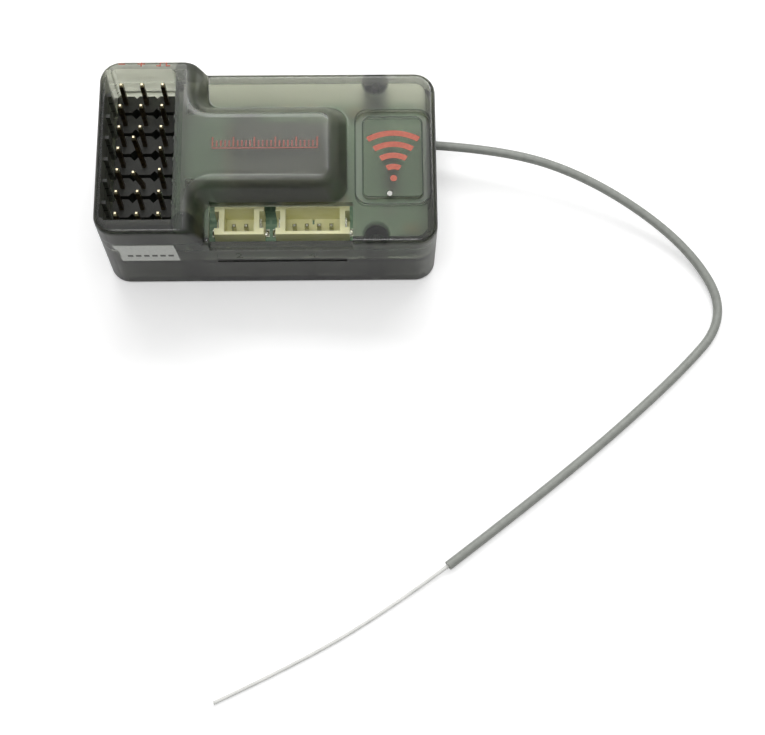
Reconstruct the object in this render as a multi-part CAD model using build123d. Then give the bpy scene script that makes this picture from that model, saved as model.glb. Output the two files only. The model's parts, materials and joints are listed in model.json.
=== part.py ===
"""Miniature radio-control receiver: smoke-clear case, seven servo outputs, two wire ports, coaxial aerial."""
import math
import os

from build123d import *

os.makedirs("parts", exist_ok=True)

# Case. X runs to the right, Y to the back and Z up; the origin is the middle of the underside.
case_length = 40.8
case_depth = 22.9
parting_height = 6.4
deck_height = 12.2
tower_height = 15.5
wall = 1.2
lid = 1.1
corner_radius = 2.6
edge_radius = 0.7
bottom_chamfer = 0.45
lip_inset = 0.65
lip_height = 0.6
lip_gap = 0.05

left_end = -case_length / 2
right_end = case_length / 2
front_face = -case_depth / 2
back_face = case_depth / 2

# Plateau: the tower along the left end and the tongue that runs to the right from it.
tower_length = 12.85
tongue_length = 17.05
tongue_front = -6.2
tongue_back = 6.55
flank_angle = 24.0
flank_thickness = 0.7
flank_top_radius = 2.2
tongue_corner_radius = 2.4
root_radius = 1.8
foot_radius = 0.4
tower_foot_x = left_end + tower_length
tongue_foot_x = tower_foot_x + tongue_length

# Main board.
board_top = 6.0
board_thickness = 1.2
board_gap = 0.12
solder_tail = 1.5
board_floor = board_top - board_thickness

# Servo outputs: rows of three square pins in snapped-off header strips.
row_count = 7
row_pitch = 2.855
rows_middle = 0.435
pin_pitch = 2.54
pins_in_row = 3
first_pin_inset = 2.4
pin_side = 0.5
pin_tip_height = 14.05
header_gap = 0.455
header_width = row_pitch - header_gap
header_height = 3.05
header_trim = 0.14
header_notch = 0.45
first_pin_x = left_end + first_pin_inset
header_top = board_top + header_height

# Well over the servo outputs, with a key pocket beside each row.
rim = 0.75
pocket_depth = 0.5
pocket_rib = 0.45
pocket_rib_top = 14.0
pocket_floor = 8.4
well_past_pins = 1.82
well_past_back_row = 1.27
well_past_front_row = 1.52
well_chamfer = 0.6
well_skirt = 0.85
skirt_gap = 0.2
skirt_floor = header_top + skirt_gap

# Wire ports, both upright in one opening of the deck.
port_ways = {"port_2way": 2, "port_4way": 4}
port_pitch = 1.5
port_end = 2.25
port_depth = 3.9
port_height = 3.7
port_front_flange = 0.4
port_back_flange = 0.5
port_end_flange = 0.85
port_side = 1.2
port_waist = 0.55
port_floor = 0.4
port_pin_side = 0.5
port_pin_height = 2.5
port_pin_setback = 1.7
port_setback = 2.35
port_spacing = 1.42
port_margin = 0.42
deck_strip = 0.5
sill_height = 10.25
port_front = front_face + port_setback
port_opening_left = tower_foot_x + deck_strip
port_opening_back = tongue_front + 0.1

# Window pad near the right end.
pad_from_end = 5.32
pad_length = 9.1
pad_depth = 12.55
pad_radius = 1.7
pad_groove = 0.9
pad_groove_depth = 0.6
pad_x = right_end - pad_from_end

# Case screws, driven from below.
tower_screw_from_foot = 2.05
end_screw_past_ports = 2.81
screw_from_wall = 1.25
boss_radius = 1.4
tower_boss_radius = 1.7
screw_shank_radius = 0.45
screw_head_radius = 0.85
screw_head_height = 0.9
screw_recess = 0.3
screw_gap = 0.06

# Blank label on the front wall of the tower.
label_from_end = 2.5
label_length = 6.8
label_bottom = 7.3
label_height = 4.6
label_thickness = 0.12

# Radio board on two pin strips, with its screening can, under the tongue.
radio_rise = 3.9
radio_thickness = 0.8
radio_board_left = tower_foot_x + 1.95
radio_board_front = -4.4
radio_board_back = 5.0
radio_past_can = 1.2
radio_pin_side = 0.4
radio_pin_pitch = 1.6
can_left = radio_board_left + 1.7
can_front = -3.2
can_back = 3.7
can_sheet = 0.2
can_edge = 0.15
can_headroom = 0.7
can_right = tongue_foot_x - flank_thickness - 2.5
radio_pins_left = radio_board_left + 0.7
radio_pins_right = can_right + radio_past_can - 0.5
radio_middle = (radio_pins_left + radio_pins_right) / 2
radio_floor = board_top + radio_rise
radio_top = radio_floor + radio_thickness

# Light guide of the status lamp, through the pad.
lamp_x = pad_x - 0.42
lamp_y = -4.9
lamp_radius = 0.32
lamp_gap = 0.1

# Aerial: coaxial cable, then its bare inner conductor.
cable_radius = 0.565
tip_radius = 0.22
cord_sides = 12
cable_gap = 0.08
cable_route = [
    (18.0, 6.05, 3.2),
    (29.0, 4.95, 4.2),
    (40.9, 0.9, 3.3),
    (52.5, -7.3, 1.2),
    (57.2, -16.7, 0.57),
    (49.8, -24.9, 0.57),
    (35.4, -37.4, 0.57),
    (21.2, -48.1, 0.57),
]
tip_route = [
    (21.2, -48.1, 0.57),
    (15.6, -52.15, 0.24),
    (4.7, -58.85, 0.24),
    (-6.3, -63.87, 0.24),
]


def block(x0, x1, y0, y1, z0, z1):
    """Box between six planes."""
    return Pos(x0, y0, z0) * Box(x1 - x0, y1 - y0, z1 - z0, align=(Align.MIN, Align.MIN, Align.MIN))


def post(x, y, radius, z0, z1):
    """Upright cylinder between two heights."""
    return Pos(x, y, z0) * Cylinder(radius, z1 - z0, align=(Align.CENTER, Align.CENTER, Align.MIN))


def outline_prism(inset, z0, z1):
    """The case's rounded outline, drawn in by an inset, between two heights."""
    radius = max(corner_radius - inset, 0.4)
    outline = RectangleRounded(case_length - 2 * inset, case_depth - 2 * inset, radius)
    return extrude(Plane.XY.offset(z0) * outline, z1 - z0)


def on_outline(point):
    """Whether a point lies on the case's upright walls."""
    past_x = max(abs(point.X) - (case_length / 2 - corner_radius), 0)
    past_y = max(abs(point.Y) - (case_depth / 2 - corner_radius), 0)
    return abs(math.hypot(past_x, past_y) - corner_radius) < 0.01


def sharp_plateau(inset, foot_height, top_height):
    """T-shaped plateau with sloping flanks, longer than the case at the left, front and back."""
    beyond = 5.0
    overlap = 8.0
    height = top_height - foot_height
    tower_foot = tower_foot_x - inset
    tongue_foot = tongue_foot_x - inset
    to_the_left = (Align.MAX, Align.CENTER)
    length = tongue_foot - tower_foot + overlap
    depth = tongue_back - tongue_front - 2 * inset
    tower = Pos(tower_foot, 0) * Rectangle(case_length / 2, case_depth + 2 * beyond, align=to_the_left)
    tongue = Pos(tongue_foot, (tongue_front + tongue_back) / 2) * Rectangle(length, depth, align=to_the_left)
    ground = Plane.XY.offset(foot_height)
    raised = extrude(ground * tower, height, taper=flank_angle)
    return raised + extrude(ground * tongue, height, taper=flank_angle)


def rounded_plateau():
    """The plateau's outside: rounded corners, roots and top edges, trimmed to the case's walls."""
    foot_height = deck_height - edge_radius
    raised = sharp_plateau(-edge_radius * math.tan(math.radians(flank_angle)), foot_height, tower_height)
    sloping = [e for e in raised.edges() if abs((e % 0.5).Z) > 0.5]
    roots = [e for e in sloping if abs((e @ 0.5).X - tower_foot_x) < 1.5 and abs((e @ 0.5).Y) < back_face]
    raised = fillet(roots, root_radius)
    ends = [e for e in raised.edges() if abs((e % 0.5).Z) > 0.5 and (e @ 0.5).X > tongue_foot_x - 3]
    raised = fillet(ends, tongue_corner_radius)
    top = [e for e in raised.edges().group_by(Axis.Z)[-1] if (e @ 0.5).X > tower_foot_x - 3]
    raised = fillet(top, flank_top_radius)
    raised &= outline_prism(0, foot_height, tower_height)
    walls = [e for e in raised.edges() if on_outline(e @ 0.5) and (e @ 0.5).Z > foot_height + 0.01]
    return fillet([e for e in walls if abs((e % 0.5).Z) < 0.99], edge_radius)


def case_form():
    """Outer form of the closed case with its edges rounded."""
    tray = outline_prism(0, 0, deck_height)
    tray = fillet(tray.edges().group_by(Axis.Z)[-1], edge_radius)
    tray = chamfer(tray.edges().group_by(Axis.Z)[0], bottom_chamfer)
    form = tray + rounded_plateau()
    deck_edges = [e for e in form.edges() if abs((e @ 0.5).Z - deck_height) < 0.01]
    foot = [e for e in deck_edges if (e @ 0.5).X < tongue_foot_x + 0.01 and abs((e @ 0.5).Y) < back_face - 3]
    return fillet(foot, foot_radius)


def case_hollow():
    """Room inside the closed case, one wall thickness in."""
    room = outline_prism(wall, lid, deck_height - lid)
    raised = sharp_plateau(flank_thickness, deck_height - lid, tower_height - lid)
    ends = [e for e in raised.edges() if abs((e % 0.5).Z) > 0.5 and (e @ 0.5).X > tongue_foot_x - 3]
    raised = fillet(ends, tongue_corner_radius - flank_thickness)
    return room + (raised & outline_prism(wall, deck_height - lid, tower_height - lid))


def lip_ring(inset, z0, z1):
    """Upright ring just inside the case's walls, for the lip and its rebate."""
    return outline_prism(inset, z0, z1) - outline_prism(wall, z0 - 1, z1 + 1)


def screw_places():
    """Screw axes with the radius of the boss around each."""
    for x, radius in (
        (tower_foot_x - tower_screw_from_foot, tower_boss_radius),
        (port_opening_right + end_screw_past_ports, boss_radius),
    ):
        for y in (front_face + screw_from_wall, back_face - screw_from_wall):
            yield x, y, radius


def row_y(row):
    """Middle of one row of servo pins, counted from the back."""
    return rows_middle + ((row_count - 1) / 2 - row) * row_pitch


def port_half(name):
    """Half the length of one wire port."""
    return (port_ways[name] - 1) * port_pitch / 2 + port_end


def port_centre(name):
    """Middle of one wire port; the ports stand side by side from the opening's left edge."""
    left = port_opening_left + port_margin
    for other in port_ways:
        if other == name:
            return left + port_half(name)
        left += 2 * port_half(other) + port_spacing


well_left = left_end + rim + pocket_depth
well_right = first_pin_x + (pins_in_row - 1) * pin_pitch + well_past_pins
well_back = row_y(0) + well_past_back_row
well_front = row_y(row_count - 1) - well_past_front_row
port_opening_right = port_centre("port_4way") + port_half("port_4way") + port_margin
header_room = block(well_left, well_right, well_front, well_back, board_floor, skirt_floor)
label_space = block(
    left_end + label_from_end,
    left_end + label_from_end + label_length,
    front_face,
    front_face + label_thickness,
    label_bottom,
    label_bottom + label_height,
)
cable_start = Vector(*cable_route[0])
cable_way_out = Vector(*cable_route[1]) - cable_start


def well():
    """What the well takes out of the case: its opening and a key pocket for each row."""
    middle = Pos((well_left + well_right) / 2, (well_front + well_back) / 2)
    outline = middle * Rectangle(well_right - well_left, well_back - well_front)
    outline = chamfer(outline.vertices().group_by(Axis.Y)[-1], well_chamfer)
    room = extrude(Plane.XY.offset(skirt_floor) * outline, tower_height)
    half = (row_pitch - pocket_rib) / 2
    pocket_left = well_left - pocket_depth
    for row in range(row_count):
        y = row_y(row)
        room += block(pocket_left, well_left + 0.1, y - half, y + half, pocket_floor, tower_height + 1)
    first = row_y(row_count - 1) - half
    last = row_y(0) + half
    return room + block(pocket_left, well_left + 0.1, first, last, pocket_rib_top, tower_height + 1)


def well_ribs():
    """Guide ribs between the rows on the well's right wall, and the ledge along its back wall."""
    rib_depth = 0.3
    rib_top = tower_height - 1.6
    ledge_depth = 0.35
    ledge_top = skirt_floor + 0.8
    into_wall = 0.2
    rib_left = well_right - rib_depth
    rib_right = well_right + into_wall
    ribs = []
    for row in range(row_count - 1):
        y = (row_y(row) + row_y(row + 1)) / 2
        ribs.append(block(rib_left, rib_right, y - 0.2, y + 0.2, skirt_floor, rib_top))
    ledge_front = well_back - ledge_depth
    return ribs + [
        block(well_left + 1, well_right - 0.6, ledge_front, well_back + into_wall, skirt_floor, ledge_top)
    ]


def port_opening():
    """Opening over the wire ports, with a low sill in the front wall and a shallow panel below it."""
    left = port_opening_left
    right = port_opening_right
    inner_front = front_face + wall
    below_deck = deck_height - lid - 1.2
    panel_margin = 0.75
    panel_floor = front_face + 0.12
    panel_bottom = parting_height + 0.3
    panel_top = sill_height - 0.3
    opening = block(left, right, inner_front - 0.01, port_opening_back, below_deck, tower_height)
    opening += block(left, right, 2 * front_face, inner_front, sill_height, tower_height)
    return opening + block(
        left + panel_margin, right - panel_margin, 2 * front_face, panel_floor, panel_bottom, panel_top
    )


def pad_groove_ring():
    """Groove round the window pad."""
    ring = RectangleRounded(pad_length, pad_depth, pad_radius)
    ring -= RectangleRounded(pad_length - 2 * pad_groove, pad_depth - 2 * pad_groove, pad_radius - 0.8)
    return Pos(pad_x, 0, deck_height - pad_groove_depth) * extrude(ring, 2 * pad_groove_depth)


def upper_shell():
    """Deck, tower and tongue with the well, the port opening, the window pad and the upper screw bosses."""
    shell = case - hollow - outline_prism(-1, -1, parting_height)
    boss_room = outline_prism(0.5, parting_height, tower_height) & case
    for x, y, radius in screw_places():
        shell += post(x, y, radius, parting_height, tower_height) & boss_room
    skirt_left = well_left - pocket_depth
    skirt_right = well_right + well_skirt
    skirt_front = well_front - well_skirt
    skirt_back = well_back + wall / 2
    skirt = block(skirt_left, skirt_right, skirt_front, skirt_back, skirt_floor, tower_height - lid / 2)
    shell += skirt & case
    shell -= well()
    shell -= header_room
    shell += well_ribs()
    shell -= port_opening()
    shell -= pad_groove_ring()
    shell -= post(lamp_x, lamp_y, lamp_radius + lamp_gap, board_top, tower_height)
    shell -= lip_ring(lip_inset - lip_gap, parting_height - 1, parting_height + lip_height + lip_gap)
    for x, y, radius in screw_places():
        shell -= post(x, y, screw_shank_radius, parting_height - 1, parting_height + 3.6)
    return shell - label_space


def lower_shell():
    """Tray with a lip, screw posts and rests for the board."""
    shell = case - hollow - outline_prism(-1, parting_height, tower_height + 1)
    for x, y, radius in screw_places():
        shell += post(x, y, radius, 0, board_floor) & outline_prism(0.5, 0, board_floor) & case
    rest_reach = wall + 0.6
    for y in (-5.5, 2.6):
        shell += block(left_end + 0.8, left_end + rest_reach, y - 0.6, y + 0.6, lid / 2, board_floor)
        shell += block(right_end - rest_reach, right_end - 0.8, y - 0.6, y + 0.6, lid / 2, board_floor)
    for x in (tower_foot_x + 5.55, tower_foot_x + 12.55):
        shell += block(x - 0.6, x + 0.6, front_face + 0.75, front_face + 2.25, lid / 2, board_floor)
        shell += block(x - 0.6, x + 0.6, back_face - 2.25, back_face - 0.75, lid / 2, board_floor)
    shell += lip_ring(lip_inset, parting_height, parting_height + lip_height)
    shell -= header_room
    for x, y, radius in screw_places():
        shell -= post(x, y, screw_head_radius + screw_gap, -1, screw_recess + screw_head_height)
        shell -= post(x, y, screw_shank_radius, -1, tower_height)
    cable_hole = Plane(origin=cable_start, z_dir=cable_way_out) * Circle(cable_radius + cable_gap)
    return shell - extrude(cable_hole, 4 * wall)


def bare_board():
    """Main board before its pin holes, notched round the screw posts."""
    board = outline_prism(wall + board_gap, board_floor, board_top)
    for x, y, radius in screw_places():
        clear = radius + board_gap
        board -= post(x, y, clear, 0, tower_height)
        board -= block(x - clear, x + clear, min(y, 2 * y), max(y, 2 * y), 0, tower_height)
    return board


def servo_pin(x, y, lean):
    """Square pin with a pointed tip; a lean bends the free end sideways."""
    foot = board_floor - solder_tail
    bend = header_top + 0.6
    point = 0.35
    section = Rectangle(pin_side, pin_side)
    root = extrude(Plane.XY.offset(foot) * Pos(x, y) * section, bend - foot)
    top = Pos(x + lean[0], y + lean[1])
    neck = Plane.XY.offset(pin_tip_height - point) * top * section
    shaft = loft([Plane.XY.offset(bend) * Pos(x, y) * section, neck])
    tip = loft([neck, Plane.XY.offset(pin_tip_height) * top * Rectangle(pin_side / 2, pin_side / 2)])
    return root + shaft + tip


def servo_header(y):
    """Black strip of three units, notched where a strip would be snapped."""
    left = first_pin_x - pin_pitch / 2 + header_trim
    right = first_pin_x + (pins_in_row - 0.5) * pin_pitch - header_trim
    strip = block(left, right, y - header_width / 2, y + header_width / 2, board_top, header_top)
    notch = Rot(0, 0, 45) * Box(header_notch * 1.6, header_notch * 1.6, 2 * header_height)
    for unit in range(pins_in_row + 1):
        x = first_pin_x + (unit - 0.5) * pin_pitch
        for side in (-1, 1):
            strip -= Pos(x, y + side * header_width / 2, board_top + header_height / 2) * notch
    return strip


def port_housing(name):
    """Open-topped shroud with waisted ends, a thin floor and, on the longer one, a slot in the floor."""
    centre = port_centre(name)
    half = port_half(name)
    back = port_front + port_depth
    top = board_top + port_height
    floor = board_top + port_floor
    inner_front = port_front + port_front_flange
    inner_back = back - port_back_flange
    reach = half - port_side
    waist = Box(2 * port_waist, port_depth - 2 * port_end_flange, port_height)
    middle = port_front + port_depth / 2
    body = block(centre - half, centre + half, port_front, back, board_top, top)
    body -= block(centre - reach, centre + reach, inner_front, inner_back, floor, top + 1)
    for side in (-1, 1):
        body -= Pos(centre + side * half, middle, floor + port_height / 2) * waist
    if port_ways[name] > 2:
        body -= block(centre - 0.12, centre + 0.12, inner_back - 0.7, inner_back, board_top - 1, floor + 0.01)
    return body


def port_pins(name):
    """Square pins of one wire port."""
    y = port_front + port_pin_setback
    reach = port_pin_side / 2
    foot = board_floor - 0.8
    tip = board_top + port_pin_height
    pins = []
    for way in range(port_ways[name]):
        x = port_centre(name) + (way - (port_ways[name] - 1) / 2) * port_pitch
        pin = block(x - reach, x + reach, y - reach, y + reach, foot, tip)
        pins.append(chamfer(pin.edges().group_by(Axis.Z)[-1], 0.12))
    return pins


def port_tabs(name):
    """Bent solder tabs: an upright in each waist of the shroud and a foot that runs out on the board."""
    thick = 0.2
    rise = 2.6
    foot_reach = port_waist + 0.5
    middle = port_front + port_depth / 2
    tabs = []
    for side in (-1, 1):
        face = port_centre(name) + side * (port_half(name) - port_waist)
        inner, outer = sorted((face, face + side * thick))
        upright = block(inner, outer, middle - 0.8, middle + 0.6, board_top, board_top + rise)
        inner, outer = sorted((face, face + side * foot_reach))
        tabs.append(upright + block(inner, outer, middle - 0.8, middle + 0.2, board_top, board_top + thick))
    return tabs


def chip(x, y, length, depth, height, leads):
    """Moulded chip on the main board, with leads along its front and back."""
    bottom = board_top + 0.1
    body = block(x - length / 2, x + length / 2, y - depth / 2, y + depth / 2, bottom, board_top + height)
    body = chamfer(body.edges().group_by(Axis.Z)[-1], 0.12)
    feet = []
    for side in (-1, 1):
        for lead in range(leads):
            at = x + (lead - (leads - 1) / 2) * length / (leads + 0.5)
            feet.append(Pos(at, y + side * (depth / 2 + 0.25), bottom) * Box(0.25, 0.5, 0.2))
    return body, feet


def radio_pins():
    """Two strips of pins that carry the radio board on the main board."""
    reach = radio_pin_side / 2
    pins = []
    for x in (radio_pins_left, radio_pins_right):
        for index in range(5):
            y = 0.3 + (index - 2) * radio_pin_pitch
            pins.append(block(x - reach, x + reach, y - reach, y + reach, board_top, radio_top + 0.4))
    return pins


def radio_can():
    """Screening can: a folded sheet box with solder notches along its foot."""
    top = tower_height - lid - can_headroom
    length = can_right - can_left
    depth = can_back - can_front
    can = block(can_left, can_right, can_front, can_back, radio_top, top)
    can = chamfer(can.edges().filter_by(Axis.Z) + can.edges().group_by(Axis.Z)[-1], can_edge)
    inside = Box(length - 2 * can_sheet, depth - 2 * can_sheet, 2 * (top - radio_top - can_sheet))
    can -= Pos(can_left + length / 2, can_front + depth / 2, radio_top) * inside
    spacing = length / 4.5
    for index in range(4):
        for y in (can_front, can_back):
            can -= Pos(can_left + (index + 0.75) * spacing, y, radio_top) * Box(1.2, 1.0, 0.5)
    return can


def chip_capacitors():
    """Small ceramic blocks on the main board."""
    blocks = []
    lying_along = (
        (radio_middle + 0.85, back_face - 2.55),
        (radio_pins_right + 3.6, back_face - 2.85),
        (right_end - 3.0, front_face + 4.05),
    )
    lying_across = ((radio_middle + 3.95, back_face - 2.75), (radio_pins_right + 2.0, -3.4))
    for x, y in lying_along + lying_across:
        half_x, half_y = (0.9, 0.45) if (x, y) in lying_along else (0.45, 0.9)
        blocks.append(block(x - half_x, x + half_x, y - half_y, y + half_y, board_top, board_top + 0.8))
    return blocks


def status_led():
    """Lamp on the board with a light guide that ends in the pad."""
    body = block(lamp_x - 0.8, lamp_x + 0.8, lamp_y - 0.4, lamp_y + 0.4, board_top, board_top + 0.4)
    return body + post(lamp_x, lamp_y, lamp_radius, board_top + 0.4, deck_height - lamp_gap)


def screw(x, y):
    """Small case screw, head down."""
    shoulder = screw_recess + screw_head_height
    head = post(x, y, screw_head_radius, screw_recess, shoulder)
    return head + post(x, y, screw_shank_radius, shoulder, parting_height + 3.2)


def cord(route, radius, name):
    """Tube of flat-sided section, along straight runs joined by tangent arcs."""
    points = [Vector(*p) for p in route]
    bends = []
    for before, here, after in zip(points, points[1:], points[2:]):
        turn = math.radians((here - before).get_angle(after - here))
        shorter = min((here - before).length, (after - here).length)
        bends.append(0.45 * shorter / math.tan(turn / 2))
    path = FilletPolyline(*points, radius=bends)
    section = RegularPolygon(radius, cord_sides)
    tube = sweep(Plane(origin=path @ 0, z_dir=path % 0) * section, path=path)
    print(name, "radii", [round(b, 1) for b in bends], "length", round(path.length, 2))
    expected = section.area * path.length
    print(name, "volume", round(tube.volume, 3), "section x length", round(expected, 3))
    return tube


case = case_form()
hollow = case_hollow()
board = bare_board()
parts = {"upper_shell": upper_shell(), "lower_shell": lower_shell()}

# Two of the middle servo pins are bent, as on the pictured receiver: sideways and endways, by row and place.
leans = {(3, 1): (-0.75, 1.45), (4, 1): (-0.6, -0.35)}
for row in range(row_count):
    strip = servo_header(row_y(row))
    pins = []
    for place in range(pins_in_row):
        pin = servo_pin(first_pin_x + place * pin_pitch, row_y(row), leans.get((row, place), (0.0, 0.0)))
        pins.append(pin)
        strip -= pin
        board -= pin
    parts[f"servo_header_{row + 1}"] = strip
    parts[f"servo_pins_{row + 1}"] = Compound(children=pins)

for name in port_ways:
    housing = port_housing(name)
    pins = port_pins(name)
    tabs = port_tabs(name)
    for piece in pins + tabs:
        housing -= piece
    for pin in pins:
        board -= pin
    parts[f"{name}_housing"] = housing
    parts[f"{name}_pins"] = Compound(children=pins)
    parts[f"{name}_tabs"] = Compound(children=tabs)
parts["main_board"] = board

carrier = block(
    radio_board_left, can_right + radio_past_can, radio_board_front, radio_board_back, radio_floor, radio_top
)
carrier = fillet(carrier.edges().filter_by(Axis.Z), 0.5)
strips = radio_pins()
for pin in strips:
    carrier -= pin
parts["radio_board"] = carrier
parts["radio_board_pins"] = Compound(children=strips)
parts["radio_can"] = radio_can()

chips = {
    "processor": chip(x=radio_middle, y=0.3, length=6.0, depth=4.6, height=1.2, leads=8),
    "regulator": chip(x=tower_foot_x + 4.35, y=back_face - 3.45, length=3.4, depth=1.8, height=1.5, leads=3),
}
for name, (body, leads) in chips.items():
    parts[name] = body
    parts[f"{name}_leads"] = Compound(children=leads)
crystal = block(pad_x - 0.75, pad_x + 0.65, -2.7, 3.3, board_top, board_top + 1.3)
parts["crystal"] = fillet(crystal.edges().filter_by(Axis.Z), 0.65)
parts["chip_capacitors"] = Compound(children=chip_capacitors())
parts["status_led"] = status_led()
parts["case_screws"] = Compound(children=[screw(x, y) for x, y, radius in screw_places()])
parts["blank_label"] = label_space

cable = cord(cable_route, cable_radius, "antenna_cable")
parts["antenna_cable"] = cable
parts["antenna_tip"] = cord(tip_route, tip_radius, "antenna_tip")
joint_x, joint_y, joint_z = cable_route[0]
joint = block(joint_x - 1.2, joint_x + 0.3, joint_y - 0.8, joint_y + 0.8, joint_z - 0.75, board_floor)
parts["antenna_joint"] = joint - cable

for name, shape in parts.items():
    export_step(shape, f"parts/{name}.step")
    size = shape.bounding_box().size
    print(f"{name:20s} solids {len(shape.solids()):2d} volume {shape.volume:9.3f}", end=" ")
    print(f"size {size.X:.2f} {size.Y:.2f} {size.Z:.2f}")
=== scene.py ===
"""Small radio-control receiver in a smoke-clear case, on a pale table with its aerial in a wide bend."""
import json
import math

import bpy
from mathutils import Matrix, Vector


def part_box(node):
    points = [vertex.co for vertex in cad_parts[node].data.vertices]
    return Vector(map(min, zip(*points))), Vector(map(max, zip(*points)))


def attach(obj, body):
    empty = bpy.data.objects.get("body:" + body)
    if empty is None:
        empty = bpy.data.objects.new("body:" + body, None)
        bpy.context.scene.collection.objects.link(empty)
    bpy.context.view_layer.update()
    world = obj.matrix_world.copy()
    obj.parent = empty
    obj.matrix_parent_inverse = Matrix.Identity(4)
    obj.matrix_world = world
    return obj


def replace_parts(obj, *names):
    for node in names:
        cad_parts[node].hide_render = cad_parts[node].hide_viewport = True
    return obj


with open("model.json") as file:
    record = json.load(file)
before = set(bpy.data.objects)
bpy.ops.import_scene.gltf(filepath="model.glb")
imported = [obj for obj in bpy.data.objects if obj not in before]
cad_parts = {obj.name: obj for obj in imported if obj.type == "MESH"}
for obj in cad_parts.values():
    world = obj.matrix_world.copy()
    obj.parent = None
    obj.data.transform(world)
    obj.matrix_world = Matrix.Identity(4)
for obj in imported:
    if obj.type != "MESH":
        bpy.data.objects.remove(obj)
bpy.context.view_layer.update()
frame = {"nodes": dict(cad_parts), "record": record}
nodes = frame["nodes"]
scene = bpy.context.scene
scene.view_settings.view_transform = "Standard"
MM = 0.001


def corners(node):
    """A CAD node's lowest and highest corner, in millimetres."""
    return [tuple(value / MM for value in corner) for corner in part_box(node)]


# The camera of the photograph, in millimetres and degrees in the case's frame.
CAMERA_PLACE = (11.76, -86.94, 188.86)
CAMERA_DOWN = 71.28
CAMERA_TURN = -1.72
CAMERA_ROLL = 1.18
CAMERA_LENS = 75.64
SENSOR_WIDTH = 36.0
NEAREST_SEEN = 10.0

# The sky's strength, from the horizon to its brightest point, which leans a little to the back.
SKY_LOW = 0.04
SKY_HIGH = 0.87
SKY_PEAK = (0.0, 0.15, 0.99)
SKY_EDGES = (0.15, 0.95)

# The floor, in metres, and the strength of its own white for the camera.
FLOOR_SIZE = 4.0
FLOOR_ROUGHNESS = 0.7
FLOOR_LIFT = 0.28

# Each lamp's name, place, length and depth in metres, and watts.
LAMPS = (
    ("rear_softbox", (0.05, 0.42, 0.48), 0.7, 0.26, 2.3),
    ("front_fill", (-0.04, -0.12, 0.6), 0.24, 0.18, 0.55),
)

# Faces and edges of the case, in millimetres.
(LEFT_END, FRONT_FACE, _), (RIGHT_END, BACK_FACE, TOWER_TOP) = corners("upper_shell")
DECK_TOP = 12.2
SILL_TOP = 10.25
EDGE_RADIUS = 0.7
CORNER_RADIUS = 2.6
CORNER_START = LEFT_END + CORNER_RADIUS
PANEL_DEPTH = 0.12
FRONT_PANEL = FRONT_FACE + PANEL_DEPTH

# The case screws, and the columns that hold them, front and back.
HEAD_RADIUS = 0.85
SCREW_FROM_WALL = 1.25
(first_head, _, head_bottom), (last_head, _, _) = corners("case_screws")
BOSS_X = (first_head + HEAD_RADIUS, last_head - HEAD_RADIUS)
BOSS_Y = BACK_FACE - SCREW_FROM_WALL
SCREW_FEET = [(x, y, 0.0) for x in BOSS_X for y in (-BOSS_Y, BOSS_Y)]
SCREW_SIZES = {
    "Head Radius": HEAD_RADIUS,
    "Head Bottom": head_bottom,
    "Head Top": 1.2,
    "Recess Length": 1.1,
    "Recess Width": 0.26,
    "Recess Depth": 0.4,
    "Shank Radius": 0.45,
    "Shank Bottom": 1.1,
    "Shank Top": 9.55,
}

# The solder at the foot of each port's tabs: its place from the tabs' ends, and its size.
SOLDER_INSET = (0.45, 0.5, 0.2)
SOLDER_SIZES = {"Radius": 0.5, "Height": 0.21}
SOLDER_SPREAD = (0.85, 1.05)
SOLDER_SEED = 4

# The window pad's middle, and the two edges of the moat round it: half length, half depth, corner radius.
PAD_FROM_END = 5.32
PAD_X = RIGHT_END - PAD_FROM_END
MOAT_EDGES = ((4.55, 6.275, 1.4), (3.65, 5.375, 0.7))

# Where the painted shade in the smoke plastic fades: by how level a face is, and by millimetres.
STEEP = (0.35, 0.85)
BACK_WALL = (9.2, 10.1)
COLUMN_RIM = (1.5, 1.75)
WELL_SIDE = (LEFT_END + 1.5, LEFT_END + 1.7)
MOAT_LINE = 0.1

# The smoke plastic's roughness, and the heights where it is polished, with the share of the polish.
MOULDED = 0.36
FROSTED = 0.75
POLISHED = 0.13
UNEVEN = 0.05
BACK_FROST = (10.1, 10.3)
POLISHED_LEVELS = ((DECK_TOP, 1.0), (TOWER_TOP, 0.7), (SILL_TOP, 1.0))
LEVEL_REACH = 0.1

# The heights between which the pins' painted shade down the shaft gives way to a painted highlight at their
# tips, in millimetres.
PIN_TOP = corners("servo_pins_1")[1][2]
GLINT_HEIGHTS = (PIN_TOP - 0.5, PIN_TOP - 0.2)

# The underside and the face of an ink film above what carries it, and the label's face above the front.
INK_LEVELS = (0.002, 0.012)
LABEL_FACE = 0.012

# The signal mark on the window pad: a dot at its foot, and arcs that open towards the back.
SIGNAL_FOOT = (15.15, -2.95)
SIGNAL_DOT = 0.42
SIGNAL_RADII = (1.55, 3.05, 4.55, 6.05)
SIGNAL_WIDTH = 0.74
SIGNAL_HALF_ANGLE = 31
ARC_STEPS = 20
DOT_STEP = 15

# The tick scale on the tongue.
TICK_LEFT = -6.6
TICK_PITCH = 0.5
TICK_WIDTH = 0.22
TICK_COUNT = 26
TICK_FOOT = -0.2
TICK_HEAD = 0.6
LONG_TICK_HEAD = 1.05
LONG_TICK_EVERY = 5
SCALE_LINE = (TICK_LEFT, -0.5, 6.12, -0.32)

# Minus, plus and pulse on the tower's back rim: left, low, right, high, and how many strips make each up.
RIM_MARKS = (
    (-18.15, 10.9, -17.35, 11.06, 2),
    (-15.85, 10.9, -15.47, 11.06, 2),
    (-15.31, 10.9, -14.93, 11.06, 2),
    (-15.47, 10.62, -15.31, 11.36, 8),
    (-13.55, 10.62, -13.15, 10.78, 2),
    (-13.15, 10.62, -12.99, 11.36, 8),
    (-12.99, 11.2, -12.41, 11.36, 2),
    (-12.41, 10.62, -12.25, 11.36, 8),
    (-12.25, 10.62, -11.85, 10.78, 2),
)

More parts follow.
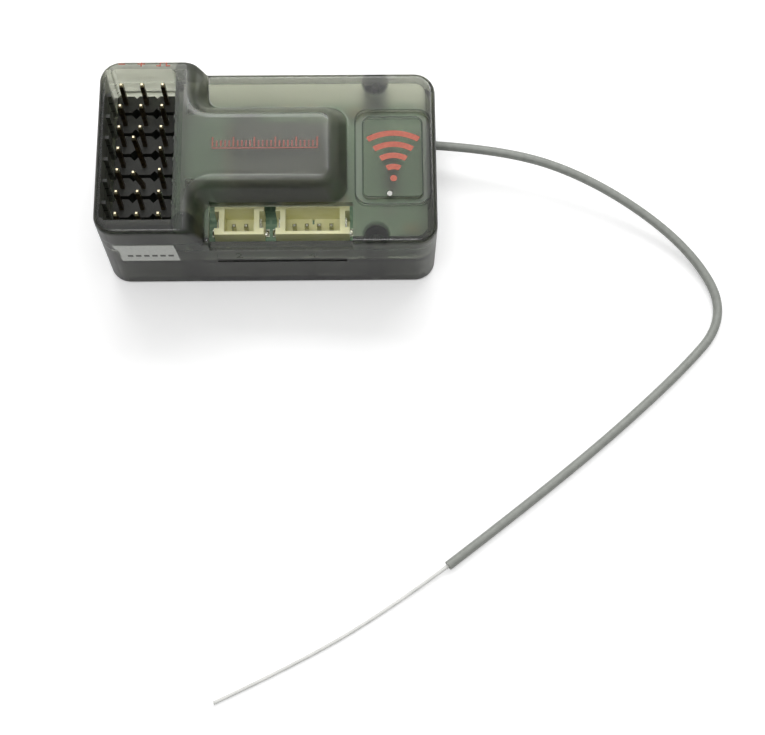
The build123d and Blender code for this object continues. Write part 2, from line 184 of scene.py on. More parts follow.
# The row of dashes on the label.
DASH_LEFT = -17.05
DASH_PITCH = 0.98
DASH_LENGTH = 0.65
DASH_COUNT = 6
DASH_LOW = 8.6
DASH_HIGH = 9.1

# The label's lower and upper edge: height, left end and right end, in millimetres.
LABEL_LOW, LABEL_HIGH = (corner[2] for corner in corners("blank_label"))
LABEL_EDGES = ((LABEL_LOW, -17.85, -10.85), (LABEL_HIGH, -18.55, -11.2))

# Its columns, as shares of its length. Between two of those shares its back is let into the case's face.
LABEL_COLUMNS = (0.0, 0.02, 0.04, 0.06, 0.08, 0.1, 0.12, 0.14, 0.955, 1.0)
LABEL_LET_IN = (0.1, 0.94)
LABEL_BACK = -0.1
LABEL_LAP_BACK = 0.002

# Each port's numeral: its name, its text and the port that it stands under.
NUMERAL_SIZE = 2.0
NUMERAL_FOOT = 7.7
NUMERALS = (
    ("two_way_numeral", "2", "port_2way_housing"),
    ("four_way_numeral", "4", "port_4way_housing"),
)

# The aerial's route, in millimetres.
CABLE_DIAMETER = 1.13
TIP_DIAMETER = 0.44
CORD_STEPS = 24
CORD_ROUNDNESS = 6
CABLE_ROUTE = [
    (18.0, 6.05, 3.2),
    (29.0, 4.95, 4.2),
    (40.9, 0.9, 3.3),
    (52.5, -7.3, 1.2),
    (57.2, -16.7, 0.57),
    (49.8, -24.9, 0.57),
    (35.4, -37.4, 0.57),
    (21.2, -48.1, 0.57),
]
TIP_ROUTE = [
    (21.2, -48.1, 0.57),
    (15.6, -52.15, 0.24),
    (4.7, -58.85, 0.24),
    (-6.3, -63.87, 0.24),
]


# A noise pattern's low and high bound where it colours a surface evenly, and where it leaves it darker.
EVEN = (0.3, 0.7)
DARKER = (0.35, 0.7)


def colour(text):
    """An sRGB hex colour as linear red, green, blue and alpha."""
    channels = [int(text[i : i + 2], 16) / 255 for i in (1, 3, 5)]
    return [c / 12.92 if c <= 0.04045 else ((c + 0.055) / 1.055) ** 2.4 for c in channels] + [1.0]


def per(size):
    """The scale of a pattern whose features are so many millimetres wide."""
    return 1 / (size * MM)


def add(tree, kind, settings=None, **inputs):
    """Adds a node with its settings and links.

    An input goes by its name, with underscores for spaces, or by n and its index.
    """
    node = tree.nodes.new(kind)
    for name, value in (settings or {}).items():
        setattr(node, name, value)
    for name, value in inputs.items():
        socket = node.inputs[int(name[1:])] if name[1:].isdigit() else node.inputs[name.replace("_", " ")]
        if isinstance(value, bpy.types.NodeSocket):
            tree.links.new(value, socket)
        else:
            socket.default_value = value
    return node


def new_material(name):
    """A material with an empty tree, and the Object coordinates that its patterns read."""
    material = bpy.data.materials.new(name)
    material.use_nodes = True
    tree = material.node_tree
    tree.nodes.clear()
    return material, tree, add(tree, "ShaderNodeTexCoord").outputs["Object"]


def two_tone(tree, pattern, contrast, first, second):
    """A colour that goes from the first to the second hex colour over a pattern's contrast."""
    low, high = contrast
    share = add(tree, "ShaderNodeMapRange", Value=pattern, From_Min=low, From_Max=high).outputs[0]
    mixed = add(tree, "ShaderNodeMix", {"data_type": "RGBA"}, n0=share, n6=colour(first), n7=colour(second))
    return mixed.outputs[2]


def grained(name, grain, detail, tones, roughness, contrast=EVEN, relief=None, stretch=None, **inputs):
    """A surface whose colour, roughness and relief all follow one grain, of a width in millimetres.

    The colour goes between two tones over the pattern's contrast, and the roughness between two values.
    The relief is a strength and a height in millimetres.
    """
    material, tree, here = new_material(name)
    if stretch:
        here = add(tree, "ShaderNodeMapping", Vector=here, Scale=stretch).outputs[0]
    pattern = add(tree, "ShaderNodeTexNoise", Vector=here, Scale=per(grain), Detail=detail).outputs[0]
    if relief:
        strength, height = relief
        bump = add(tree, "ShaderNodeBump", Strength=strength, Distance=height * MM, Height=pattern)
        inputs["Normal"] = bump.outputs[0]
    low, high = roughness
    rough = add(tree, "ShaderNodeMapRange", Value=pattern, To_Min=low, To_Max=high)
    shader = add(
        tree,
        "ShaderNodeBsdfPrincipled",
        Base_Color=two_tone(tree, pattern, contrast, *tones),
        Roughness=rough.outputs[0],
        **inputs,
    )
    add(tree, "ShaderNodeOutputMaterial", Surface=shader.outputs[0])
    return material


def wall_shade_mask(tree, y):
    """1 on the steep sides, where the plastic gets a painted shade, apart from the back wall, which
    daylight comes through.
    """
    normal = add(tree, "ShaderNodeNewGeometry").outputs["Normal"]
    rise = add(tree, "ShaderNodeSeparateXYZ", Vector=normal).outputs["Z"]
    level = add(tree, "ShaderNodeMath", {"operation": "ABSOLUTE"}, n0=rise).outputs[0]
    upright, flat = STEEP
    steep = add(tree, "ShaderNodeMapRange", Value=level, From_Min=flat, From_Max=upright).outputs[0]
    start, end = BACK_WALL
    before = add(tree, "ShaderNodeMapRange", Value=y, From_Min=end * MM, From_Max=start * MM).outputs[0]
    return add(tree, "ShaderNodeMath", {"operation": "MULTIPLY"}, n0=steep, n1=before).outputs[0]


def column_shade_mask(tree, plan, x):
    """1 in the two screw columns at x, where the plastic gets a painted shade, fading out across their rim.
    """
    axis = (x * MM, BOSS_Y * MM, 0.0)
    away = add(tree, "ShaderNodeVectorMath", {"operation": "DISTANCE"}, n0=plan, n1=axis).outputs[1]
    inner, outer = COLUMN_RIM
    return add(tree, "ShaderNodeMapRange", Value=away, From_Min=outer * MM, From_Max=inner * MM).outputs[0]


def moat_shade_mask(tree, plan, half_length, half_depth, corner):
    """1 along one edge of the moat round the window pad, which is a rounded rectangle: a line of painted
    shade on the plastic.
    """
    offset = add(tree, "ShaderNodeVectorMath", {"operation": "SUBTRACT"}, n0=plan, n1=(PAD_X * MM, 0, 0))
    offset = add(tree, "ShaderNodeVectorMath", {"operation": "ABSOLUTE"}, n0=offset.outputs[0])
    square = ((half_length - corner) * MM, (half_depth - corner) * MM, 0.0)
    past = add(tree, "ShaderNodeVectorMath", {"operation": "SUBTRACT"}, n0=offset.outputs[0], n1=square)
    past = add(tree, "ShaderNodeVectorMath", {"operation": "MAXIMUM"}, n0=past.outputs[0], n1=(0, 0, 0))
    reach = add(tree, "ShaderNodeVectorMath", {"operation": "LENGTH"}, n0=past.outputs[0]).outputs[1]
    near = {"operation": "COMPARE"}
    return add(tree, "ShaderNodeMath", near, n0=reach, n1=corner * MM, n2=MOAT_LINE * MM).outputs[0]


def smoke_sheen(tree, y, z, flow):
    """Roughness of the smoke plastic: satin, frosted at the back, and polished on its level faces."""
    start, end = BACK_FROST
    rear = add(
        tree,
        "ShaderNodeMapRange",
        Value=y,
        From_Min=start * MM,
        From_Max=end * MM,
        To_Min=MOULDED,
        To_Max=FROSTED,
    ).outputs[0]
    drift = add(tree, "ShaderNodeMapRange", Value=flow, To_Min=-UNEVEN, To_Max=UNEVEN).outputs[0]
    sheen = add(tree, "ShaderNodeMath", {"operation": "ADD"}, n0=rear, n1=drift).outputs[0]
    near = {"operation": "COMPARE"}
    for level, share in POLISHED_LEVELS:
        face = add(tree, "ShaderNodeMath", near, n0=z, n1=level * MM, n2=LEVEL_REACH * MM)
        face = add(tree, "ShaderNodeMath", {"operation": "MULTIPLY"}, n0=face.outputs[0], n1=share)
        sheen = add(tree, "ShaderNodeMix", n0=face.outputs[0], n2=sheen, n3=POLISHED).outputs[0]
    return sheen


def smoke_polycarbonate():
    """Moulded polycarbonate with a smoke dye: clear where it is thin, nearly black down a wall, and with
    painted shade on its steep sides, in the screw columns, along the moat's edges and in the well's side
    pockets.
    """
    material, tree, here = new_material("smoke_polycarbonate")
    flow = add(tree, "ShaderNodeTexNoise", Vector=here, Scale=per(3.0), Detail=3.0).outputs[0]
    grain = add(tree, "ShaderNodeTexNoise", Vector=here, Scale=per(0.35), Detail=2.0).outputs[0]
    relief = add(tree, "ShaderNodeBump", Strength=0.06, Distance=0.02 * MM, Height=grain).outputs[0]
    x, y, z = add(tree, "ShaderNodeSeparateXYZ", Vector=here).outputs
    mirrored = add(tree, "ShaderNodeMath", {"operation": "ABSOLUTE"}, n0=y).outputs[0]
    plan = add(tree, "ShaderNodeCombineXYZ", X=x, Y=mirrored).outputs[0]
    walls = wall_shade_mask(tree, y)
    # Painted shade in the well's side pockets: the plastic darkens towards the left wall.
    start, end = WELL_SIDE
    pocket_shade = add(tree, "ShaderNodeMapRange", Value=x, From_Min=end * MM, From_Max=start * MM).outputs[0]
    pocket_shade = add(tree, "ShaderNodeMath", {"operation": "MULTIPLY"}, n0=pocket_shade, n1=walls).outputs[0]
    # Painted shade: the plastic's colour is darkened on steep sides, in the screw columns, along the moat's
    # edges and in the well's side pockets.
    painted_shades = [(walls, "#8A8D82")]
    painted_shades += [(column_shade_mask(tree, plan, boss), "#85887E") for boss in BOSS_X]
    painted_shades += [(moat_shade_mask(tree, plan, *edge), "#8C8F84") for edge in MOAT_EDGES]
    painted_shades.append((pocket_shade, "#5A5C54"))
    shade = two_tone(tree, flow, EVEN, "#F0F1E4", "#F4F5EA")
    for mask, shade_colour in painted_shades:
        mixed = add(tree, "ShaderNodeMix", {"data_type": "RGBA"}, n0=mask, n6=shade, n7=colour(shade_colour))
        shade = mixed.outputs[2]
    shader = add(
        tree,
        "ShaderNodeBsdfPrincipled",
        Base_Color=shade,
        Roughness=smoke_sheen(tree, y, z, flow),
        IOR=1.585,
        Transmission_Weight=1.0,
        Normal=relief,
    )
    dye = add(tree, "ShaderNodeVolumeAbsorption", Color=(0.74, 0.76, 0.70, 1.0), Density=385.0)
    haze = add(tree, "ShaderNodeVolumeScatter", Color=(0.9, 0.9, 0.86, 1.0), Density=12.0)
    smoke = add(tree, "ShaderNodeAddShader", n0=dye.outputs[0], n1=haze.outputs[0])
    add(tree, "ShaderNodeOutputMaterial", Surface=shader.outputs[0], Volume=smoke.outputs[0])
    return material


def gold_plated_brass():
    """Gold-plated brass pins, with painted shade of dark brown in random patches down the shaft, and a
    painted highlight bright at the tip.
    """
    material, tree, here = new_material("gold_plated_brass")
    height = add(tree, "ShaderNodeSeparateXYZ", Vector=here).outputs["Z"]
    # Painted highlight: the tip is painted bright above a painted shade of dark brown down the shaft, mixed
    # by height.
    start, end = GLINT_HEIGHTS
    tip = add(tree, "ShaderNodeMapRange", Value=height, From_Min=start * MM, From_Max=end * MM).outputs[0]
    patches = add(tree, "ShaderNodeTexNoise", Vector=here, Scale=per(0.6), Detail=3.0).outputs[0]
    shaft = two_tone(tree, patches, DARKER, "#4A3D28", "#7C6A48")
    glint_and_shade = add(tree, "ShaderNodeMix", {"data_type": "RGBA"}, n0=tip, n6=shaft, n7=colour("#E9DDBB"))
    worn = add(tree, "ShaderNodeMapRange", Value=patches, To_Min=0.28, To_Max=0.45)
    shader = add(
        tree,
        "ShaderNodeBsdfPrincipled",
        Base_Color=glint_and_shade.outputs[2],
        Roughness=worn.outputs[0],
        Metallic=1.0,
    )
    add(tree, "ShaderNodeOutputMaterial", Surface=shader.outputs[0])
    return material


def ivory_nylon():
    """Unfilled nylon, moulded: warm ivory with a satin spark finish, which lets a little light in."""
    material, tree, here = new_material("ivory_nylon")
    cloud = add(tree, "ShaderNodeTexNoise", Vector=here, Scale=per(1.6), Detail=2.0).outputs[0]
    spark = add(tree, "ShaderNodeTexNoise", Vector=here, Scale=per(0.25), Detail=2.0).outputs[0]
    satin = add(tree, "ShaderNodeMapRange", Value=spark, To_Min=0.35, To_Max=0.5).outputs[0]
    relief = add(tree, "ShaderNodeBump", Strength=0.2, Distance=0.015 * MM, Height=spark).outputs[0]
    shader = add(
        tree,
        "ShaderNodeBsdfPrincipled",
        Base_Color=two_tone(tree, cloud, EVEN, "#EAE8B4", "#F2F0C6"),
        Roughness=satin,
        IOR=1.53,
        Subsurface_Weight=0.2,
        Subsurface_Radius=(1.0, 0.9, 0.6),
        Subsurface_Scale=0.4 * MM,
        Normal=relief,
    )
    add(tree, "ShaderNodeOutputMaterial", Surface=shader.outputs[0])
    return material


def solder_mask(name, ground, copper):
    """Solder mask over etched copper: a tinted laminate with raised tracks and small tinned vias."""
    material, tree, here = new_material(name)
    tracks = add(
        tree,
        "ShaderNodeTexBrick",
        {"offset": 0.5, "squash": 0.7},
        Vector=here,
        Color1=(1, 1, 1, 1),
        Color2=(0.6, 0.6, 0.6, 1),
        Mortar=(0, 0, 0, 1),
        Scale=per(1.0),
        Mortar_Size=0.16,
        Brick_Width=2.6,
        Row_Height=0.9,
    ).outputs["Color"]
    cells = add(tree, "ShaderNodeTexVoronoi", Vector=here, Scale=per(1.9)).outputs["Distance"]
    via = add(tree, "ShaderNodeMapRange", Value=cells, From_Min=0.13, From_Max=0.1).outputs[0]
    mask = two_tone(tree, tracks, (0.1, 0.9), ground, copper)
    coat = add(tree, "ShaderNodeMix", {"data_type": "RGBA"}, n0=via, n6=mask, n7=colour("#A9AA9C"))
    satin = add(tree, "ShaderNodeMapRange", Value=cells, To_Min=0.3, To_Max=0.42)
    relief = add(tree, "ShaderNodeBump", Strength=0.3, Distance=0.035 * MM, Height=tracks)
    shader = add(
        tree,
        "ShaderNodeBsdfPrincipled",
        Base_Color=coat.outputs[2],
        Roughness=satin.outputs[0],
        IOR=1.52,
        Normal=relief.outputs[0],
    )
    add(tree, "ShaderNodeOutputMaterial", Surface=shader.outputs[0])
    return material


def pad_ink(name, first, second, wear):
    """Pad-printing ink, stamped on the plastic: flat colour, thin in places."""
    return grained(name, 0.3, 3.0, (first, second), (0.45, 0.6), contrast=(0.5 - wear, 0.5 + wear), IOR=1.5)


red_ink = pad_ink("red_pad_ink", "#A9523F", "#BC6650", 0.15)
worn_ink = pad_ink("worn_red_pad_ink", "#7A5148", "#9E5A4A", 0.2)
grey_ink = pad_ink("grey_pad_ink", "#62665C", "#777B70", 0.2)
black_ink = pad_ink("black_label_ink", "#4C4E49", "#5E605A", 0.2)
finishes = {
    "smoke_plastic": smoke_polycarbonate(),
    # Black nylon filled with glass, moulded: dull, with a fine grain of fibre ends.
    "black_plastic": grained(
        "glass_filled_nylon",
        grain=0.25,
        detail=4.0,
        tones=("#1D1E1A", "#2C2D27"),
        roughness=(0.5, 0.7),
        contrast=DARKER,
        relief=(0.25, 0.02),
        IOR=1.5,
    ),
    "gold_pin": gold_plated_brass(),
    "ivory_plastic": ivory_nylon(),
    # Tin plating over bronze: bright, slightly uneven where it was dipped.
    "tinned_metal": grained(
        "tinned_bronze",
        grain=0.5,
        detail=2.0,
        tones=("#BDBCB0", "#D6D6CE"),
        roughness=(0.18, 0.34),
        relief=(0.3, 0.03),
        Metallic=1.0,
    ),
    "board_green": solder_mask("green_solder_mask", "#93B29A", "#7C9E86"),
    # Transfer-moulded epoxy of a chip's body: charcoal, with a matt ground of silica grains.
    "chip_black": grained(
        "moulded_epoxy",
        grain=0.2,
        detail=3.0,
        tones=("#1C1C1C", "#2B2B2A"),
        roughness=(0.5, 0.65),
        relief=(0.2, 0.01),
        IOR=1.55,
    ),
    # Rolled nickel silver of the screening can and the crystal: dull grey with lengthways rolling marks.
    "can_metal": grained(
        "nickel_silver",
        grain=0.25,
        detail=3.0,
        tones=("#5C5C5E", "#6E6E70"),
        roughness=(0.5, 0.62),
        stretch=(0.08, 1.0, 1.0),
        Metallic=1.0,
    ),
    # Fired barium titanate of the chip capacitors: a tan body, faintly speckled.
    "ceramic_tan": grained(
        "fired_ceramic",
        grain=0.25,
        detail=3.0,
        tones=("#A8936A", "#C0AE88"),
        roughness=(0.45, 0.6),
        contrast=DARKER,
        IOR=1.6,
    ),
    # Cast clear resin of the lamp and its light guide: bright where it carries daylight up to the pad.
    "led_clear": grained(
        "clear_resin",
        grain=0.4,
        detail=1.0,
        tones=("#EDEDE6", "#F6F6F2"),
        roughness=(0.08, 0.16),
        IOR=1.5,
        Transmission_Weight=0.35,
    ),
    # Black-oxide steel of the case screws: dark, with a faint oily sheen.
    "screw_steel": grained(
        "black_oxide_steel",
        grain=0.4,
        detail=3.0,
        tones=("#3C3C3E", "#56565A"),
        roughness=(0.32, 0.46),
        Metallic=1.0,
    ),
    # Matt coated label paper: off-white, with the tooth of its fibres.
    "label_white": grained(
        "coated_label_paper",
        grain=0.3,
        detail=4.0,
        tones=("#C3C5BF", "#CFD1CB"),
        roughness=(0.55, 0.7),
        relief=(0.15, 0.01),
    ),
    # Extruded vinyl jacket of the coaxial cable: satin grey, with a faint waviness from its braid.
    "jacket_grey": grained(
        "extruded_vinyl",
        grain=0.7,
        detail=2.0,
        tones=("#8A8D87", "#969993"),
        roughness=(0.38, 0.5),
        relief=(0.2, 0.03),
        IOR=1.53,
    ),
    # Extruded fluoropolymer round the inner conductor: waxy white, a little grey where the wire shows.
    "core_white": grained(
        "extruded_fluoropolymer",
        grain=1.2,
        detail=2.0,
        tones=("#D9DAD6", "#E6E6E2"),
        roughness=(0.3, 0.42),
        IOR=1.38,
    ),
}
for entry in frame["record"]["subparts"]:
    mesh = nodes[entry["node"]].data
    mesh.materials.clear()
    mesh.materials.append(finishes[entry["material_slot"]])
nodes["radio_board"].data.materials[0] = solder_mask("grey_solder_mask", "#8C908A", "#7A7E78")


def add_piece(name, mesh):
    """A still piece of the receiver from a mesh that is already in place."""
    piece = bpy.data.objects.new(name, mesh)
    scene.collection.objects.link(piece)
    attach(piece, "root")
    return piece


def on_deck(a, b, level):
    """The flat deck, with the window pad."""
    return (a, b, DECK_TOP + level)


def on_tongue(a, b, level):
    """The flat top of the tongue."""
    return (a, b, TOWER_TOP + level)


def on_front(a, b, level):
    """The case's front face, which turns round the left corner."""
    if a > CORNER_START:
        return (a, FRONT_FACE - level, b)
    angle = (CORNER_START - a) / CORNER_RADIUS
    reach = CORNER_RADIUS + level
    middle = (CORNER_START, FRONT_FACE + CORNER_RADIUS)
    return (middle[0] - reach * math.sin(angle), middle[1] - reach * math.cos(angle), b)


def on_label(a, b, level):
    """The label's own face, just proud of the front."""
    return on_front(a, b, level + LABEL_FACE)


def on_back_rim(a, b, level):
    """The tower's top, which rolls over into its back face."""
    past = b - (BACK_FACE - EDGE_RADIUS)
    if past <= 0:
        return (a, b, TOWER_TOP + level)
    angle = past / EDGE_RADIUS
    reach = EDGE_RADIUS + level
    middle = (BACK_FACE - EDGE_RADIUS, TOWER_TOP - EDGE_RADIUS)
    return (a, middle[0] + reach * math.sin(angle), middle[1] + reach * math.cos(angle))


def print_piece(name, shapes, place, material):
    """A film of ink from flat outlines, each a closed plate just clear of the face under it."""
    verts = []
    faces = []
    for shape in shapes:
        first = len(verts)
        count = len(shape)
        for level in INK_LEVELS:
            verts += [tuple(value * MM for value in place(a, b, level)) for a, b in shape]
        faces.append([first + i for i in reversed(range(count))])
        faces.append([first + count + i for i in range(count)])
        for i in range(count):
            j = (i + 1) % count
            faces.append([first + i, first + j, first + count + j, first + count + i])
    mesh = bpy.data.meshes.new(name)
    mesh.from_pydata(verts, [], faces)
    mesh.materials.append(material)
    return add_piece(name, mesh)


def bar(left, low, right, high):
    """A rectangle's outline."""
    return [(left, low), (right, low), (right, high), (left, high)]


def strips(left, low, right, high, count):
    """A rectangle in strips, so that it can follow a rounded edge."""
    step = (high - low) / count
    return [bar(left, low + i * step, right, low + (i + 1) * step) for i in range(count)]


def ring(centre, radius, angles):
    """The points on a circle at some angles, in degrees."""
    turns = [math.radians(angle) for angle in angles]
    return [(centre[0] + radius * math.cos(t), centre[1] + radius * math.sin(t)) for t in turns]


def arc_band(centre, radius, width, half_angle):
    """The outline of a band of arc that opens towards the back."""
    angles = [90 - half_angle + 2 * half_angle * i / ARC_STEPS for i in range(ARC_STEPS + 1)]
    return ring(centre, radius + width / 2, angles) + ring(centre, radius - width / 2, angles)[::-1]


signal = [arc_band(SIGNAL_FOOT, radius, SIGNAL_WIDTH, SIGNAL_HALF_ANGLE) for radius in SIGNAL_RADII]
signal.append(ring(SIGNAL_FOOT, SIGNAL_DOT, range(0, 360, DOT_STEP)))
print_piece("signal_print", signal, on_deck, red_ink)

ticks = []
for i in range(TICK_COUNT):
    left = TICK_LEFT + TICK_PITCH * i
    head = TICK_HEAD if i % LONG_TICK_EVERY else LONG_TICK_HEAD
    ticks.append(bar(left, TICK_FOOT, left + TICK_WIDTH, head))
ticks.append(bar(*SCALE_LINE))
print_piece("scale_print", ticks, on_tongue, worn_ink)

polarity = [strip for mark in RIM_MARKS for strip in strips(*mark)]
print_piece("polarity_print", polarity, on_back_rim, red_ink)

starts = [DASH_LEFT + DASH_PITCH * i for i in range(DASH_COUNT)]
dashes = [bar(left, DASH_LOW, left + DASH_LENGTH, DASH_HIGH) for left in starts]
print_piece("label_dashes", dashes, on_label, black_ink)


def label_sheet():
    """The paper label: let into the front face, and lapping a little way round the case's corner."""
    verts = []
    for share in LABEL_COLUMNS:
        for height, left, right in LABEL_EDGES:
            along = left + share * (right - left)
            back = LABEL_BACK if LABEL_LET_IN[0] < share < LABEL_LET_IN[1] else LABEL_LAP_BACK
            for level in (back, LABEL_FACE):
                verts.append(tuple(value * MM for value in on_front(along, height, level)))
    faces = [[0, 2, 3, 1]]
    last = 4 * (len(LABEL_COLUMNS) - 1)
    for n in range(0, last, 4):
        faces += [[n + 1, n + 3, n + 7, n + 5], [n, n + 4, n + 6, n + 2]]
        faces += [[n, n + 1, n + 5, n + 4], [n + 2, n + 6, n + 7, n + 3]]
    faces.append([last, last + 1, last + 3, last + 2])
    mesh = bpy.data.meshes.new("lapped_label")
    mesh.from_pydata(verts, [], faces)
    mesh.materials.append(finishes["label_white"])
    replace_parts(add_piece("lapped_label", mesh), "blank_label")


label_sheet()


def numeral(name, text, port):
    """A port's number of ways, standing up on the front panel under its middle."""
    low, high = corners(port)
    x = (low[0] + high[0]) / 2
    under, top = INK_LEVELS
    letters = bpy.data.curves.new(name, "FONT")
    letters.body = text
    letters.size = NUMERAL_SIZE * MM
    letters.extrude = (top - under) / 2 * MM
    letters.align_x = "CENTER"
    holder = bpy.data.objects.new(name, letters)
    scene.collection.objects.link(holder)
    mesh = bpy.data.meshes.new_from_object(holder.evaluated_get(bpy.context.evaluated_depsgraph_get()))
    bpy.data.objects.remove(holder)
    place = Vector((x, FRONT_PANEL - (under + top) / 2, NUMERAL_FOOT)) * MM
    mesh.transform(Matrix.Translation(place) @ Matrix.Rotation(math.radians(90), 4, "X"))
    mesh.materials.clear()
    mesh.materials.append(grey_ink)
    add_piece(name, mesh)


for name, text, port in NUMERALS:
    numeral(name, text, port)


def grow(name, points, build, sizes, material):
    """Runs a Geometry Nodes tree on a set of points and gives the result as a plain mesh."""
    tree = bpy.data.node_groups.new(name, "GeometryNodeTree")
    plan = tree.interface
    plan.new_socket("Points", in_out="INPUT", socket_type="NodeSocketGeometry")
    keys = {}
    for label in sizes:
        keys[label] = plan.new_socket(label, in_out="INPUT", socket_type="NodeSocketFloat").identifier
    keys["Finish"] = plan.new_socket("Finish", in_out="INPUT", socket_type="NodeSocketMaterial").identifier
    plan.new_socket("Mesh", in_out="OUTPUT", socket_type="NodeSocketGeometry")
    given = tree.nodes.new("NodeGroupInput").outputs
    whole = add(tree, "GeometryNodeRealizeInstances", Geometry=build(tree, given))
    coated = add(tree, "GeometryNodeSetMaterial", Geometry=whole.outputs[0], Material=given["Finish"])
    add(tree, "NodeGroupOutput", n0=coated.outputs[0])
    mesh = bpy.data.meshes.new(name)
    mesh.from_pydata([tuple(value * MM for value in point) for point in points], [], [])
    holder = bpy.data.objects.new(name, mesh)
    scene.collection.objects.link(holder)
    modifier = holder.modifiers.new("grow", "NODES")
    modifier.node_group = tree
    for label, value in sizes.items():
        modifier[keys[label]] = value * MM
    modifier[keys["Finish"]] = material
    grown = bpy.data.meshes.new_from_object(holder.evaluated_get(bpy.context.evaluated_depsgraph_get()))
    holder.modifiers.remove(modifier)
    bpy.data.objects.remove(holder)
    grown.name = name
    return grown


def build_fillets(tree, given):
    """A low dome of solder on every point, each a little different in size."""
    radius = given["Radius"]
    dome = add(tree, "GeometryNodeMeshUVSphere", Segments=20, Rings=12, Radius=radius)
    share = add(tree, "ShaderNodeMath", {"operation": "DIVIDE"}, n0=given["Height"], n1=radius)
    squash = add(tree, "ShaderNodeCombineXYZ", X=1.0, Y=1.0, Z=share.outputs[0])
    flat = add(tree, "GeometryNodeTransform", Geometry=dome.outputs[0], Scale=squash.outputs[0])
    smooth = add(tree, "GeometryNodeSetShadeSmooth", Geometry=flat.outputs[0])
    low, high = SOLDER_SPREAD
    size = add(tree, "FunctionNodeRandomValue", {"data_type": "FLOAT"}, n2=low, n3=high, Seed=SOLDER_SEED)
    spread = add(
        tree,
        "GeometryNodeInstanceOnPoints",
        Points=given["Points"],
        Instance=smooth.outputs[0],
        Scale=size.outputs[1],
    )
    return spread.outputs[0]


def build_screws(tree, given):
    """A flat head with a cross recess and a plain shank, pointing up from every point."""
    rods = []
    for part, sides in (("Head", 32), ("Shank", 24)):
        low, high = given[part + " Bottom"], given[part + " Top"]
        height = add(tree, "ShaderNodeMath", {"operation": "SUBTRACT"}, n0=high, n1=low).outputs[0]
        middle = add(tree, "ShaderNodeMath", {"operation": "MULTIPLY_ADD"}, n0=height, n1=0.5, n2=low)
        lift = add(tree, "ShaderNodeCombineXYZ", Z=middle.outputs[0]).outputs[0]
        radius = given[part + " Radius"]
        rod = add(tree, "GeometryNodeMeshCylinder", Vertices=sides, Radius=radius, Depth=height)
        rods.append(add(tree, "GeometryNodeTransform", Geometry=rod.outputs[0], Translation=lift))
    head, shank = rods
    foot = add(tree, "ShaderNodeCombineXYZ", Z=given["Head Bottom"]).outputs[0]
    long, wide = given["Recess Length"], given["Recess Width"]
    # The second slot of the cross is a little shallower, so that no two faces of the cut coincide.
    for across, along, share in ((long, wide, 1.0), (wide, long, 0.95)):
        deep = {"operation": "MULTIPLY"}
        height = add(tree, "ShaderNodeMath", deep, n0=given["Recess Depth"], n1=2 * share).outputs[0]
        size = add(tree, "ShaderNodeCombineXYZ", X=across, Y=along, Z=height).outputs[0]
        blade = add(tree, "GeometryNodeMeshCube", Size=size)
        blade = add(tree, "GeometryNodeTransform", Geometry=blade.outputs[0], Translation=foot)
        exact = {"operation": "DIFFERENCE", "solver": "EXACT"}
        head = add(tree, "GeometryNodeMeshBoolean", exact, n0=head.outputs[0], n1=blade.outputs[0])
    screw = add(tree, "GeometryNodeJoinGeometry")
    for part in (head, shank):
        tree.links.new(part.outputs[0], screw.inputs[0])
    spread = add(tree, "GeometryNodeInstanceOnPoints", Points=given["Points"], Instance=screw.outputs[0])
    return spread.outputs[0]


solder_feet = []
for tabs in ("port_2way_tabs", "port_4way_tabs"):
    low, high = corners(tabs)
    for x in (low[0] + SOLDER_INSET[0], high[0] - SOLDER_INSET[0]):
        solder_feet.append((x, low[1] + SOLDER_INSET[1], low[2] + SOLDER_INSET[2]))
solder = grow("solder_fillets", solder_feet, build_fillets, SOLDER_SIZES, finishes["tinned_metal"])
add_piece("solder_fillets", solder)
screws = grow("case_screw_set", SCREW_FEET, build_screws, SCREW_SIZES, finishes["screw_steel"])
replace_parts(add_piece("case_screw_set", screws), "case_screws")


def cord(name, route, diameter, material, node):
    """A round cord along its route as a smooth curve, in place of its plain tube."""
    curve = bpy.data.curves.new(name, "CURVE")
    curve.dimensions = "3D"
    curve.bevel_depth = diameter * MM / 2
    curve.bevel_resolution = CORD_ROUNDNESS
    curve.use_fill_caps = True
    curve.resolution_u = CORD_STEPS
    spline = curve.splines.new("NURBS")
    spline.points.add(len(route) - 1)
    for point, at in zip(spline.points, route):
        point.co = (at[0] * MM, at[1] * MM, at[2] * MM, 1.0)
    spline.order_u = 3
    spline.use_endpoint_u = True
    curve.materials.append(material)
    piece = bpy.data.objects.new(name, curve)
    scene.collection.objects.link(piece)
    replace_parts(piece, node)
    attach(piece, "root")
    return piece


cable = cord("cable", CABLE_ROUTE, CABLE_DIAMETER, finishes["jacket_grey"], "antenna_cable")
tip = cord("bare_tip", TIP_ROUTE, TIP_DIAMETER, finishes["core_white"], "antenna_tip")


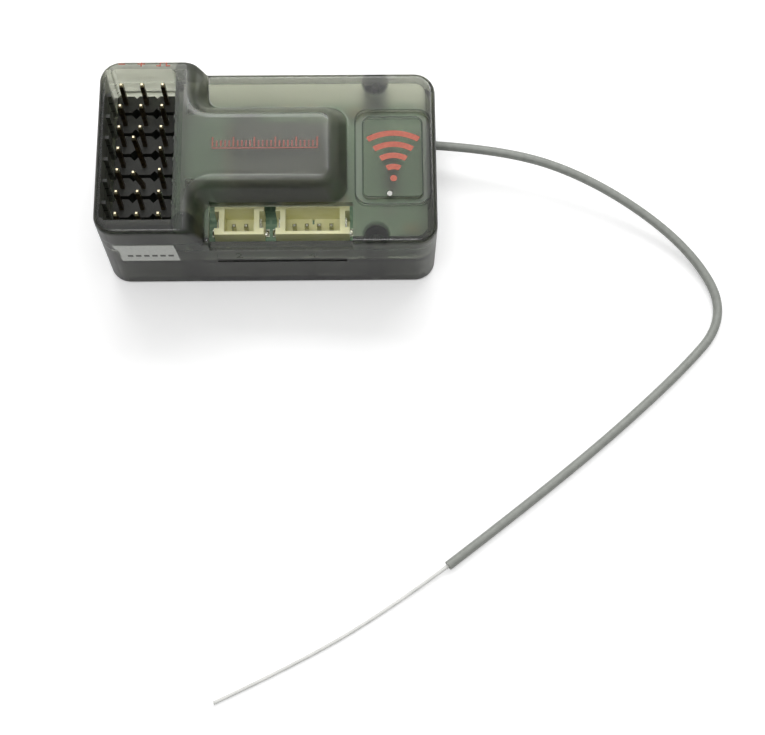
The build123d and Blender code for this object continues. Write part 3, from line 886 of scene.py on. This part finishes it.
def pale_table():
    """Painted white table: matt, a little uneven, and lifted to full white for the camera alone."""
    material, tree, here = new_material("pale_table")
    paper = add(tree, "ShaderNodeTexNoise", Vector=here, Scale=per(4.0), Detail=2.0).outputs[0]
    seen = add(tree, "ShaderNodeLightPath").outputs["Is Camera Ray"]
    lift = add(tree, "ShaderNodeMath", {"operation": "MULTIPLY"}, n0=seen, n1=FLOOR_LIFT)
    shader = add(
        tree,
        "ShaderNodeBsdfPrincipled",
        Base_Color=two_tone(tree, paper, (0.2, 0.8), "#F1F1F1", "#F4F4F4"),
        Roughness=FLOOR_ROUGHNESS,
        Emission_Color=colour("#FFFFFF"),
        Emission_Strength=lift.outputs[0],
    )
    add(tree, "ShaderNodeOutputMaterial", Surface=shader.outputs[0])
    return material


def light_room():
    """A pale floor, a white sky that is brightest overhead, and the lamps, which face the case."""
    bpy.ops.mesh.primitive_plane_add(size=FLOOR_SIZE, location=(0, 0, 0))
    floor = bpy.context.object
    floor.name = "floor"
    floor.data.materials.append(pale_table())
    world = bpy.data.worlds.new("studio_white")
    world.use_nodes = True
    sky = world.node_tree
    across = add(sky, "ShaderNodeTexCoord").outputs["Generated"]
    upward = add(sky, "ShaderNodeVectorMath", {"operation": "DOT_PRODUCT"}, n0=across, n1=SKY_PEAK)
    ceiling = add(
        sky,
        "ShaderNodeMapRange",
        Value=upward.outputs[1],
        From_Min=SKY_EDGES[0],
        From_Max=SKY_EDGES[1],
        To_Min=SKY_LOW,
        To_Max=SKY_HIGH,
    )
    background = sky.nodes["Background"]
    background.inputs["Color"].default_value = colour("#FFFFFF")
    sky.links.new(ceiling.outputs[0], background.inputs["Strength"])
    scene.world = world
    for name, place, length, depth, watts in LAMPS:
        lamp = bpy.data.lights.new(name, "AREA")
        lamp.shape = "RECTANGLE"
        lamp.size = length
        lamp.size_y = depth
        lamp.energy = watts
        holder = bpy.data.objects.new(name, lamp)
        holder.location = place
        holder.rotation_euler = (-holder.location).to_track_quat("-Z", "Y").to_euler()
        scene.collection.objects.link(holder)


def place_camera():
    """The camera at the photograph's angle."""
    lens = bpy.data.cameras.new("camera")
    lens.lens = CAMERA_LENS
    lens.sensor_width = SENSOR_WIDTH
    lens.clip_start = NEAREST_SEEN * MM
    camera = bpy.data.objects.new("camera", lens)
    turn = Matrix.Rotation(math.radians(CAMERA_TURN), 4, "Z")
    turn = turn @ Matrix.Rotation(math.radians(90 - CAMERA_DOWN), 4, "X")
    turn = turn @ Matrix.Rotation(math.radians(CAMERA_ROLL), 4, "Z")
    camera.matrix_world = Matrix.Translation(Vector(CAMERA_PLACE) * MM) @ turn
    scene.collection.objects.link(camera)
    scene.camera = camera


light_room()
place_camera()
